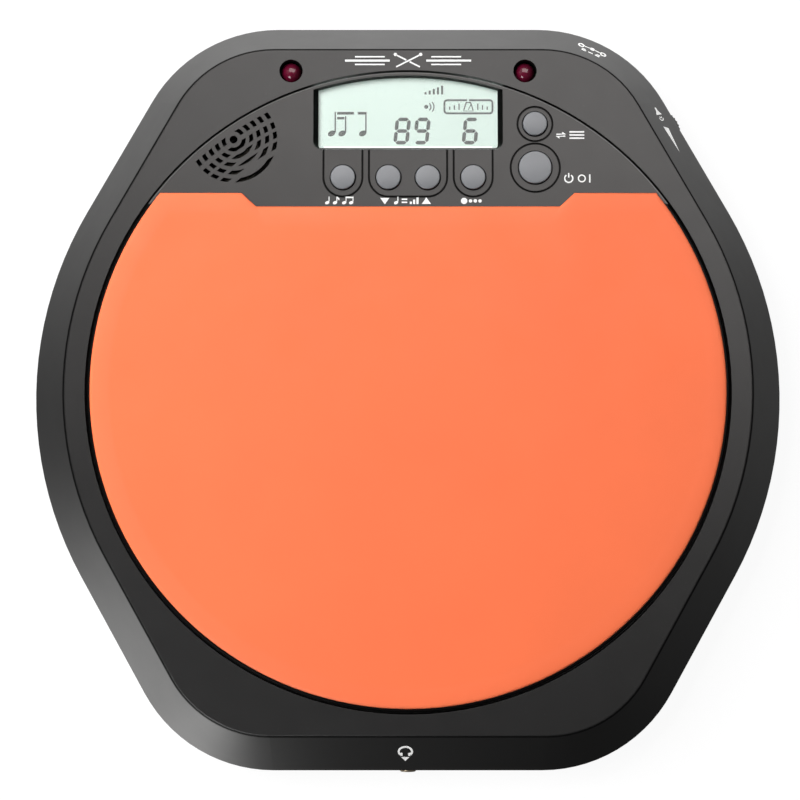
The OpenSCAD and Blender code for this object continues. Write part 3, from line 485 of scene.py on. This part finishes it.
def add_part(name, shape, slot, node, sharp, body="shell"):
    """Adds a detailed piece in place of a CAD node."""
    made = add_object(name, shape, MATERIALS[slot], body, sharp)
    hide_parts(node)


def bridge(shape, first, second):
    """Joins two closed loops of equal length."""
    for i in range(len(first)):
        j = (i + 1) % len(first)
        shape.faces.new((first[i], first[j], second[j], second[i]))


def lathe(shape, profile, center_x, center_y, segments):
    """Closed turned body; profile is [(radius, height), ...] from axis to axis."""
    rows = []
    for radius, z in profile:
        if radius < 1e-6:
            rows.append([shape.verts.new(point(center_x, center_y, z))])
            continue
        angles = [2 * math.pi * i / segments for i in range(segments)]
        rows.append([shape.verts.new(point(center_x + radius * math.cos(angle),
                                           center_y + radius * math.sin(angle), z))
                     for angle in angles])
    for low, high in zip(rows, rows[1:]):
        if len(low) > 1 and len(high) > 1:
            bridge(shape, low, high)
            continue
        for i in range(segments):
            j = (i + 1) % segments
            if len(low) == 1:
                shape.faces.new((low[0], high[i], high[j]))
            else:
                shape.faces.new((low[i], low[j], high[0]))


def round_corner(before, corner, after, radius, steps, limit):
    """Quadratic curve over a corner, using at most the share limit of each side."""
    corner = Vector(corner)
    back, ahead = Vector(before) - corner, Vector(after) - corner
    half = back.angle(ahead) / 2.0
    reach = min(radius / math.tan(half), back.length * limit, ahead.length * limit)
    start = corner + back.normalized() * reach
    end = corner + ahead.normalized() * reach
    points = []
    for k in range(steps + 1):
        share = k / steps
        spot = start * (1 - share) ** 2 + corner * 2 * share * (1 - share) + end * share ** 2
        points.append((spot.x, spot.y))
    return points


def fillet_profile(stations):
    """Rounds the corners of a profile; stations are (radius, height, rounding)."""
    profile = []
    for i, (radius, z, rounding) in enumerate(stations):
        if rounding <= 0 or i in (0, len(stations) - 1):
            profile.append((radius, z))
        else:
            profile += round_corner(stations[i - 1][:2], (radius, z), stations[i + 1][:2],
                                    rounding, steps=5, limit=0.49)
    return profile


def arc(center_x, center_y, radius, start, end, steps):
    angles = [math.radians(start + (end - start) * i / steps) for i in range(steps + 1)]
    return [(center_x + radius * math.cos(angle), center_y + radius * math.sin(angle))
            for angle in angles]


def circle(x, y, radius, count):
    return arc(x, y, radius, 0, 360 - 360 / count, count - 1)


# ------------------------------------------------------------------ detailed pieces

# striking surface edge: (inset from the outline, height)
PAD_PROFILE = [
    (0.05, PAD_BOTTOM), (0.0, PAD_BOTTOM + 0.1), (0.0, 38.95), (0.03, 39.15), (0.10, 39.32),
    (0.22, 39.47), (0.40, 39.58), (0.65, 39.67), (1.1, 39.76), (1.8, 39.84), (2.8, 39.91),
    (4.0, 39.96), (5.5, PAD_TOP), (7.0, PAD_TOP)]


def pad_loop(inset, z):
    """Outline from the right ear round the front to the left ear, then along the cut."""
    radius, ear, cut = PAD_RADIUS - inset, EAR_Y - inset, CUT_Y - inset
    shift = 0.45 * inset
    ear_inner, cut_outer = EAR_INNER_X - shift, CUT_OUTER_X - shift
    x = math.sqrt(radius * radius - ear * ear)
    angle = math.degrees(math.asin(ear / radius))
    front = arc(0, 0, radius, angle, -180 - angle, 260)
    back = [(-x, ear), (-ear_inner, ear), (-cut_outer, cut),
            (cut_outer, cut), (ear_inner, ear), (x, ear)]
    outline = front[1:]
    for i in range(1, 5):
        outline += round_corner(*back[i - 1:i + 2], radius=1.1, steps=4, limit=0.45)
    outline.append(front[0])
    return [point(px, py, z) for px, py in outline]


def build_pad():
    shape = bmesh.new()
    loops = [[shape.verts.new(v) for v in pad_loop(*station)] for station in PAD_PROFILE]
    for low, high in zip(loops, loops[1:]):
        bridge(shape, low, high)
    shape.faces.new(loops[-1])
    shape.faces.new(list(reversed(loops[0])))
    add_part("pad_skin", shape, "pad_orange", "strike_pad", sharp=50)


def build_key(key):
    """Stem, flange and a cap with a rounded edge and a slightly domed top."""
    stem, flange_low, flange_high = 2.8, 35.0, 36.0
    rounding, dome = 0.40, 0.26
    node = "key_" + key
    low, high = box_mm(node)
    bottom, top = low[2], high[2]
    flange = (high[0] - low[0]) / 2
    cap = flange - 1.3
    body = fillet_profile([
        (0, bottom, 0), (stem, bottom, 0.15), (stem, flange_low, 0.1),
        (flange, flange_low, 0.15), (flange, flange_high, 0.15),
        (cap, flange_high, 0.1), (cap, top - 0.72, 0)])
    crown = arc(cap - rounding, top - dome - rounding, rounding, 0, 81, 9)
    edge = crown[-1][0]
    crown += [(edge * k / 10, top - dome * (k / 10) ** 2) for k in range(9, -1, -1)]
    shape = bmesh.new()
    lathe(shape, body + crown, (low[0] + high[0]) / 2, (low[1] + high[1]) / 2, segments=96)
    add_part("cap_" + key, shape, "key_grey", node, sharp=60, body=key + "_key")


def build_lamp(side):
    """Beat lamp: a half ball on a short flange."""
    ball, flange, chamfer, thick = 3.9, 4.4, 0.1, 1.2
    node = "led_" + side
    low, high = box_mm(node)
    bottom, top = low[2], high[2]
    base = [(0, bottom), (flange - chamfer, bottom), (flange, bottom + chamfer),
            (flange, bottom + thick - chamfer), (flange - chamfer, bottom + thick),
            (ball, bottom + thick)]
    dome = arc(0, top - ball, ball, 0, 90, 15)[:-1] + [(0, top)]
    shape = bmesh.new()
    lathe(shape, base + dome, (low[0] + high[0]) / 2, (low[1] + high[1]) / 2, segments=72)
    add_part("lamp_" + side, shape, "led_red", node, sharp=50)


def build_lens():
    """The CAD window with its lower face raised a little."""
    shape = bmesh.new()
    shape.from_mesh(NODES["lcd_window"].data)
    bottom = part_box("lcd_window")[0].z
    for vert in shape.verts:
        if vert.co.z < bottom + 0.1 * MM:
            vert.co.z += 0.12 * MM
    add_part("lens_clear_window", shape, "lens_clear", "lcd_window", sharp=30)


FEET = [(100, 52), (-100, 52), (100, -52), (-100, -52), (0, 108), (0, -108)]
# (radius, height, rounding), hollow in the middle
FOOT_PROFILE = [
    (0, 0.35, 0), (4.6, 0.35, 0.5), (5.4, 0.0, 0.4), (7.0, 0.0, 0.5), (8.0, 1.1, 0.7),
    (8.0, 3.0, 0), (0, 3.0, 0)]


def build_feet():
    shape = bmesh.new()
    for x, y in FEET:
        lathe(shape, fillet_profile(FOOT_PROFILE), x, y, segments=64)
    add_part("feet_rubber", shape, "foot_rubber", "rubber_feet", sharp=50)


# ------------------------------------------------------------------ printing tools
# A surface function turns (x, y, height above the surface) into a place.


def flat(z):
    return lambda x, y, out: point(x, y, z + out)


def wall_height(inward, out):
    return WALL_Z + inward / WALL_RUN * WALL_RISE + out * NORMAL_UP


def on_corner(x, y, out):
    """Back right corner: x runs clockwise, y inwards, both as seen from above."""
    middle = (DC_Z - WALL_Z) / WALL_RISE * WALL_RUN
    inward = middle + y
    angle = math.radians(DC_ANGLE) - x / (CORNER_RADIUS - middle)
    radius = CORNER_RADIUS - inward + out * NORMAL_OUT
    return point(CORNER_X + radius * math.cos(angle), CORNER_Y + radius * math.sin(angle),
                 wall_height(inward, out))


def on_side(x, y, out):
    """Flat right back side: x runs along the side's normal, y along the side."""
    cosine, sine = math.cos(math.radians(SIDE_ANGLE)), math.sin(math.radians(SIDE_ANGLE))
    distance = x + out * NORMAL_OUT
    return point(distance * cosine - y * sine, distance * sine + y * cosine,
                 wall_height(HALF_WIDTH - x, out))


def on_front(x, y, out):
    return point(x, y - out * NORMAL_OUT, wall_height(HALF_WIDTH + y, out))


def stroke(path, width):
    """Outline of a line with mitred joints."""
    spots = [Vector(spot) for spot in path]
    left, right = [], []
    for i, spot in enumerate(spots):
        before = (spot - spots[i - 1]).normalized() if i else (spots[1] - spot).normalized()
        after = (spots[i + 1] - spot).normalized() if i < len(spots) - 1 else before
        normal = Vector((-before.y, before.x))
        mitre = (normal + Vector((-after.y, after.x))).normalized()
        reach = width / 2 / max(0.4, mitre.dot(normal))
        left.append(tuple(spot + mitre * reach))
        right.append(tuple(spot - mitre * reach))
    return left + right[::-1]


class Ink:
    """Collects flat printed marks in one mesh. Marks never lie on top of each other."""

    def __init__(self, surface, low=-0.02, high=0.025):
        self.shape, self.surface, self.low, self.high = bmesh.new(), surface, low, high

    def loop(self, outline, height):
        return [self.shape.verts.new(self.surface(x, y, height)) for x, y in outline]

    def poly(self, outline):
        low, high = self.loop(outline, self.low), self.loop(outline, self.high)
        self.shape.faces.new(high)
        self.shape.faces.new(list(reversed(low)))
        bridge(self.shape, low, high)

    def dot(self, x, y, radius):
        self.poly(circle(x, y, radius, 28))

    def ring(self, x, y, outer_radius, inner_radius):
        outer, inner = circle(x, y, outer_radius, 40), circle(x, y, inner_radius, 40)
        rows = [self.loop(outer, self.low), self.loop(outer, self.high),
                self.loop(inner, self.high), self.loop(inner, self.low)]
        for first, second in zip(rows, rows[1:] + rows[:1]):
            bridge(self.shape, first, second)

    def line(self, path, width):
        self.poly(stroke(path, width))

    def rect(self, x0, x1, y0, y1):
        self.poly([(x0, y0), (x1, y0), (x1, y1), (x0, y1)])

    def oval(self, x, y, half_length, half_width, turn):
        cosine, sine = math.cos(math.radians(turn)), math.sin(math.radians(turn))
        outline = []
        for k in range(28):
            along = half_length * math.cos(2 * math.pi * k / 28)
            across = half_width * math.sin(2 * math.pi * k / 28)
            outline.append((x + along * cosine - across * sine, y + along * sine + across * cosine))
        self.poly(outline)

    def done(self, name, material):
        add_object(name, self.shape, material)


# ------------------------------------------------------------------ white prints


def note(ink, x, y, height, flag=False):
    ink.oval(x, y, 0.80, 0.56, 24)
    ink.rect(x + 0.50, x + 0.80, y + 0.55, y + height)
    if flag:
        ink.poly([(x + 0.84, y + height), (x + 1.55, y + height - 0.75),
                  (x + 1.50, y + height - 1.45), (x + 0.84, y + height - 0.55)])


def print_panel():
    ink = Ink(flat(DECK_TOP))
    # plain note, flagged note and a beamed pair
    y = 66.35
    note(ink, -29.0, y, 2.2)
    note(ink, -26.2, y, 2.2, flag=True)
    for x in (-22.9, -20.4):
        note(ink, x, y, 1.62)
    ink.rect(-22.40, -19.60, y + 1.64, y + 2.2)
    # two triangles; between them a note, an equals sign and three rising bars
    ink.poly([(-10.0, 68.1), (-6.7, 68.1), (-8.35, 65.75)])
    ink.poly([(4.9, 65.9), (8.2, 65.9), (6.55, 68.25)])
    note(ink, -4.3, y, 2.2)
    ink.rect(-2.3, -0.3, 67.35, 67.85)
    ink.rect(-2.3, -0.3, 66.25, 66.75)
    for i in range(3):
        ink.rect(0.6 + 1.2 * i, 1.35 + 1.2 * i, 65.85, 66.75 + 0.75 * i)
    # one strong and three weak beats
    ink.dot(20.1, 67.0, 1.15)
    for i in range(3):
        ink.dot(22.4 + 1.7 * i, 67.0, 0.62)
    # two opposed arrows beside three bars
    arrow = [(-1.6, 0.55), (0.5, 0.55), (0.5, 1.25), (1.9, 0.3), (0.9, 0.28), (-1.6, 0.1)]
    for side in (1, -1):
        ink.poly([(55.0 + side * px, 91.0 + side * py) for px, py in arrow])
    for i in range(3):
        ink.rect(58.1, 63.4, 91.95 - 1.15 * i, 92.5 - 1.15 * i)
    # line in an open ring, a closed ring and a short bar
    ink.line(arc(57.7, 75.2, 1.45, 125, 415, 30), 0.5)
    ink.rect(57.45, 57.95, 75.5, 77.2)
    ink.ring(62.4, 75.2, 1.45, 1.0)
    ink.rect(65.0, 65.5, 73.7, 76.7)
    ink.done("print_panel", PRINT)


def print_ring():
    """Behind the display: two crossed sticks between bars."""
    ink = Ink(flat(RING_TOP))
    for side in (-1, 1):
        for inner, outer, y0, y1 in ((6.6, 22.8, 118.25, 119.0), (8.4, 19.2, 116.95, 117.45),
                                     (8.4, 19.2, 119.8, 120.3)):
            ink.rect(*sorted((side * inner, side * outer)), y0, y1)
        ink.dot(side * 4.55, 120.9, 0.62)
    ink.line([(-4.3, 116.3), (4.25, 120.7)], 0.55)
    ink.line([(4.3, 116.3), (0.62, 118.19)], 0.55)
    ink.line([(-0.62, 118.83), (-4.25, 120.7)], 0.55)
    ink.done("print_ring", PRINT)


def print_dc():
    """Ring, dot and ring joined by lines; further in, a line and a dashed line."""
    ink = Ink(on_corner)
    ink.ring(-4.3, -0.9, 1.25, 0.62)
    ink.dot(0, -0.9, 0.92)
    ink.ring(4.3, -0.9, 1.25, 0.62)
    ink.rect(-2.95, -1.02, -1.15, -0.65)
    ink.rect(1.02, 2.95, -1.15, -0.65)
    ink.rect(-3.7, 3.7, 0.90, 1.42)
    for i in range(3):
        ink.rect(-3.7 + 2.75 * i, -1.8 + 2.75 * i, 1.85, 2.40)
    ink.done("print_dc", MARK)


def print_volume():
    """A long wedge and a small loudspeaker with two sound waves."""
    ink = Ink(on_side)
    ink.poly([(129.1, 38.4), (131.3, 37.5), (129.75, 27.6)])
    ink.poly([(130.2, 46.4), (131.0, 46.4), (131.0, 45.0), (132.1, 43.4), (129.1, 43.4),
              (130.2, 45.0)])
    ink.line([(130.0, 42.5), (130.3, 42.1), (130.9, 42.1), (131.2, 42.5)], 0.35)
    ink.line([(129.5, 41.9), (130.1, 41.0), (131.1, 41.0), (131.7, 41.9)], 0.35)
    ink.done("print_volume", MARK)


def print_phones():
    """Headphones above a small arrow, on the front wall."""
    ink = Ink(on_front)
    x, y = -1.0, -128.9
    ink.line([(px, y + (py - y) * 0.85) for px, py in arc(x, y, 2.35, -40, 220, 36)], 0.7)
    for side in (-1, 1):
        ink.poly([(x + side * 1.0, y - 1.65), (x + side * 1.75, y - 1.9),
                  (x + side * 1.75, y - 0.55), (x + side * 1.0, y - 0.55)])
    ink.poly([(x - 1.45, -131.2), (x + 1.45, -131.2), (x, -132.9)])
    ink.done("print_phones", MARK)


# ------------------------------------------------------------------ display content


def digit(ink, x, lit):
    """Leaning seven-segment digit; lit names its segments, a at the back, then clockwise."""
    y, width, height, thick, gap, lean = 88.45, 5.55, 9.84, 1.28, 0.16, 0.10
    half, middle = thick / 2, height / 2

    def horizontal(level):
        return [(half + gap, level), (thick + gap, level + half),
                (width - thick - gap, level + half), (width - half - gap, level),
                (width - thick - gap, level - half), (thick + gap, level - half)]

    def vertical(px, y0, y1):
        return [(px, y0 + gap), (px + half, y0 + half + gap), (px + half, y1 - half - gap),
                (px, y1 - gap), (px - half, y1 - half - gap), (px - half, y0 + half + gap)]

    segments = {
        "a": horizontal(height - half), "g": horizontal(middle), "d": horizontal(half),
        "f": vertical(half, middle, height - half),
        "b": vertical(width - half, middle, height - half),
        "e": vertical(half, half, middle), "c": vertical(width - half, half, middle)}
    for segment in lit:
        ink.poly([(x + px + lean * py, y + py) for px, py in segments[segment]])


def draw_notes(ink):
    for x in (-27.66, -23.86, -16.4):
        ink.oval(x, 92.5, 1.42, 0.98, 26)
    ink.rect(-26.60, -26.10, 92.9, 100.4)
    ink.rect(-22.85, -22.35, 92.9, 98.8)
    ink.rect(-15.50, -15.00, 92.9, 99.4)
    ink.rect(-25.70, -19.60, 99.45, 100.4)
    ink.rect(-25.70, -23.05, 97.65, 98.55)
    ink.rect(-18.20, -15.00, 99.45, 100.4)


def draw_frame(ink):
    """Rounded frame with a gap in its back line."""
    x0, x1, y0, y1, radius = 13.2, 30.6, 99.9, 104.75, 1.0
    ink.line([(21.4, y1)]
             + arc(x0 + radius, y1 - radius, radius, 90, 180, 6)
             + arc(x0 + radius, y0 + radius, radius, 180, 270, 6)
             + arc(x1 - radius, y0 + radius, radius, 270, 360, 6)
             + arc(x1 - radius, y1 - radius, radius, 0, 90, 6)
             + [(22.1, y1)], 0.68)


def draw_pendulum(ink):
    """Swinging pendulum between beat marks."""
    ink.line([(20.2, 101.0), (21.1, 103.9), (22.7, 103.9), (23.6, 101.0)], 0.42)
    ink.rect(20.0, 23.8, 100.65, 100.85)
    ink.line([(21.9, 101.2), (22.9, 103.45)], 0.28)
    for side in (-1, 1):
        for i in range(3):
            x = 21.9 + side * (3.4 + 1.7 * i)
            ink.rect(x - 0.22, x + 0.22, 101.2, 103.5 - 0.55 * i)


def display_ink():
    return Ink(flat(LCD_TOP), low=0.005, high=0.03)


def draw_display():
    ink = display_ink()
    for x, lit in ((-5.4, "abcdefg"), (1.75, "abcdfg"), (19.35, "acdefg")):
        digit(ink, x, lit)
    draw_notes(ink)
    draw_frame(ink)
    draw_pendulum(ink)
    # rising bars, then a dot with two arcs
    for i in range(5):
        ink.rect(6.0 + 1.5 * i, 6.75 + 1.5 * i, 106.9, 107.7 + 0.6 * i)
    ink.dot(6.6, 102.3, 0.72)
    ink.line(arc(6.6, 102.3, 1.7, -50, 50, 10), 0.4)
    ink.line(arc(6.6, 102.3, 2.8, -40, 40, 12), 0.4)
    ink.done("lcd_marks", SEGMENT)


def draw_display_edge():
    """A painted highlight, a pale glowing line, and painted shade, a dark strip, along the
    display's front edge.
    """
    # painted highlight
    line = display_ink()
    line.rect(-30.4, 30.4, 87.22, 87.62)
    line.done("display_edge", DISPLAY_PAINTED_HIGHLIGHT)
    # painted shade, drawn as a dark strip
    border = display_ink()
    border.rect(-33.2, 33.2, 86.0, 87.16)
    border.done("display_border", DISPLAY_PAINTED_SHADE)


# ------------------------------------------------------------------ stage, sizes in metres

# brightness of the floor in reflections: (direction in degrees, narrowness, amount)
FLOOR_LOBES = [
    (95, 2.0, 1.20), (-136, 14.0, 1.85), (-121, 110.0, 1.15), (-90, 30.0, 0.06),
    (14, 3.0, 0.23), (158, 5.0, 0.20), (178, 3.0, 0.05)]
FLOOR_BASE = 0.05


def floor_material():
    """Even and pale to the camera, with a faint soft shadow. In reflections it is lit unevenly,
    as by studio lamps at the back and at the front left."""
    shader = Shader(bpy.data.materials.new("m_floor"))
    geometry = shader.add("NewGeometry").outputs
    direction = shader.add("VectorMath", {0: geometry["Position"]}, operation="NORMALIZE")

    def lobe(angle, power, amount):
        toward = (math.cos(math.radians(angle)), math.sin(math.radians(angle)), 0)
        value = shader.calc("MAXIMUM", shader.dot(direction.outputs[0], toward), 0.0)
        return shader.calc("MULTIPLY", shader.calc("POWER", value, power), amount)

    total = lobe(*FLOOR_LOBES[0])
    for values in FLOOR_LOBES[1:]:
        total = shader.calc("ADD", total, lobe(*values))
    total = shader.calc("ADD", total, FLOOR_BASE)
    reflected = shader.add("Emission", {0: (1.0, 0.995, 0.985, 1), 1: total})
    pale = shader.add("Emission", {0: (1, 1, 1, 1), 1: 0.94})
    shadow = shader.add("BsdfDiffuse", {0: (0.10, 0.10, 0.10, 1)})
    seen = shader.add("AddShader", {0: pale.outputs[0], 1: shadow.outputs[0]})
    is_camera = shader.add("LightPath").outputs["Is Camera Ray"]
    top = shader.mix_shader(is_camera, reflected.outputs[0], seen.outputs[0])
    # clear from below, so the underside can be looked at
    clear = shader.add("BsdfTransparent")
    shader.show(shader.mix_shader(geometry["Backfacing"], top, clear.outputs[0]))
    return shader.block


def build_floor():
    radius, z, count = 6.0, -0.0002, 64
    shape = bmesh.new()
    angles = [2 * math.pi * i / count for i in range(count)]
    shape.faces.new([shape.verts.new((radius * math.cos(angle), radius * math.sin(angle), z))
                     for angle in angles])
    new_object("floor", shape, floor_material())


def build_world():
    """White to the camera, dim to everything else."""
    world = bpy.data.worlds.new("studio")
    bpy.context.scene.world = world
    shader = Shader(world, "OutputWorld")
    seen = shader.add("Background", {0: (1, 1, 1, 1), 1: 1.0})
    ambient = shader.add("Background", {0: (0.98, 0.99, 1.0, 1), 1: 0.10})
    is_camera = shader.add("LightPath").outputs["Is Camera Ray"]
    shader.show(shader.mix_shader(is_camera, ambient.outputs[0], seen.outputs[0]))


def add_light(name, location, size, radiance, target=(0.0, 0.0, 0.03), glossy=True,
              diffuse=True, color=(1, 1, 1)):
    light = bpy.data.lights.new(name, "AREA")
    light.shape = "RECTANGLE"
    light.size, light.size_y = size
    light.energy = radiance * math.pi * size[0] * size[1]
    light.color = color
    lamp = bpy.data.objects.new(name, light)
    lamp.location = location
    aim = Vector(target) - Vector(location)
    lamp.rotation_euler = aim.to_track_quat("-Z", "Y").to_euler()
    lamp.visible_glossy = glossy
    lamp.visible_diffuse = diffuse
    lamp.visible_camera = False
    bpy.context.scene.collection.objects.link(lamp)


def add_lights():
    add_light("light_back", location=(0.12, 0.66, 1.15), target=(0.0, 0.02, 0.03),
              size=(1.4, 0.96), radiance=4.05, diffuse=False, color=(1.0, 0.965, 0.945))
    add_light("light_fill", location=(-0.7, 0.35, 0.9), size=(0.9, 0.9), radiance=9.0,
              glossy=False)
    add_light("light_low", location=(-0.36, -0.55, 0.50), size=(0.34, 0.34), radiance=11.0,
              diffuse=False)


def add_camera():
    """Looks down from above, tilted slightly towards the back."""
    camera = bpy.data.cameras.new("camera")
    camera.sensor_width = 36.0
    camera.lens = 77.49
    camera.clip_start = 0.01
    holder = bpy.data.objects.new("camera", camera)
    holder.location = (-0.0029, -0.05957, 0.64738)
    holder.rotation_euler = (math.radians(5.15), 0, 0)
    bpy.context.scene.collection.objects.link(holder)
    bpy.context.scene.camera = holder


# ------------------------------------------------------------------ build

dress_cad_pieces()
build_pad()
for key_name in ("rhythm", "tempo_down", "tempo_up", "beat", "mode", "power"):
    build_key(key_name)
for lamp_side in ("left", "right"):
    build_lamp(lamp_side)
build_lens()
build_feet()
print_panel()
print_ring()
print_dc()
print_volume()
print_phones()
draw_display()
draw_display_edge()
build_floor()
build_world()
add_lights()
add_camera()
bpy.context.scene.view_settings.view_transform = "Standard"
